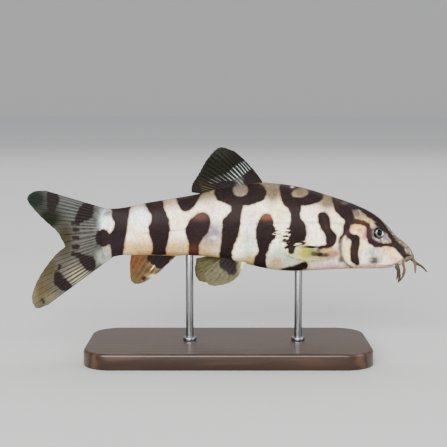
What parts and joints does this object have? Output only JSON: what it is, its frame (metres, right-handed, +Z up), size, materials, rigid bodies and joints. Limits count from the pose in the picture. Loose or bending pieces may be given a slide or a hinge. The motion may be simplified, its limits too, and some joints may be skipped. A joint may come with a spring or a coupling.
{
  "type": "yoyo loach",
  "caption": "Life-size still model of a yoyo loach: long tapering body with looped dark bars, down-turned snout with barbels, spread fins and forked tail, held on a flat display stand by rods.",
  "frame": {"origin": "middle of the underside of the display stand's base", "axes": "+X towards the fish's snout, +Y to its left side, +Z up"},
  "size_m": [0.125, 0.04, 0.0655],
  "materials": {
    "skin": "wet, scaled skin, cream to white with near-black bars",
    "skin_dark": "wet, scaled skin of the tail stalk, white with near-black bars",
    "fin_olive": "thin translucent fin skin over pale rays",
    "fin_amber": "thin translucent fin skin, amber with a dark patch",
    "barbel": "soft tan skin",
    "eye": "glossy, silver iris and black pupil",
    "stand_wood": "dark satin",
    "stand_steel": "brushed"
  },
  "bodies": {
    "root": {"head": "skin", "trunk": "skin", "tail": "skin_dark", "gill_cover_left": "skin", "gill_cover_right": "skin", "eye_left": "eye", "eye_right": "eye", "dorsal_fin": "fin_olive", "anal_fin": "fin_amber", "caudal_fin_upper": "fin_olive", "caudal_fin_lower": "fin_olive", "pelvic_fin_left": "fin_olive", "pelvic_fin_right": "fin_olive", "pectoral_fin_left": "fin_olive", "pectoral_fin_right": "fin_olive", "barbel_snout_inner_left": "barbel", "barbel_snout_inner_right": "barbel", "barbel_snout_outer_left": "barbel", "barbel_snout_outer_right": "barbel", "barbel_corner_left": "barbel", "barbel_corner_right": "barbel", "barbel_chin_left": "barbel", "barbel_chin_right": "barbel", "stand_base": "stand_wood", "stand_rod_front": "stand_steel", "stand_rod_rear": "stand_steel"}
  },
  "joints": []
}
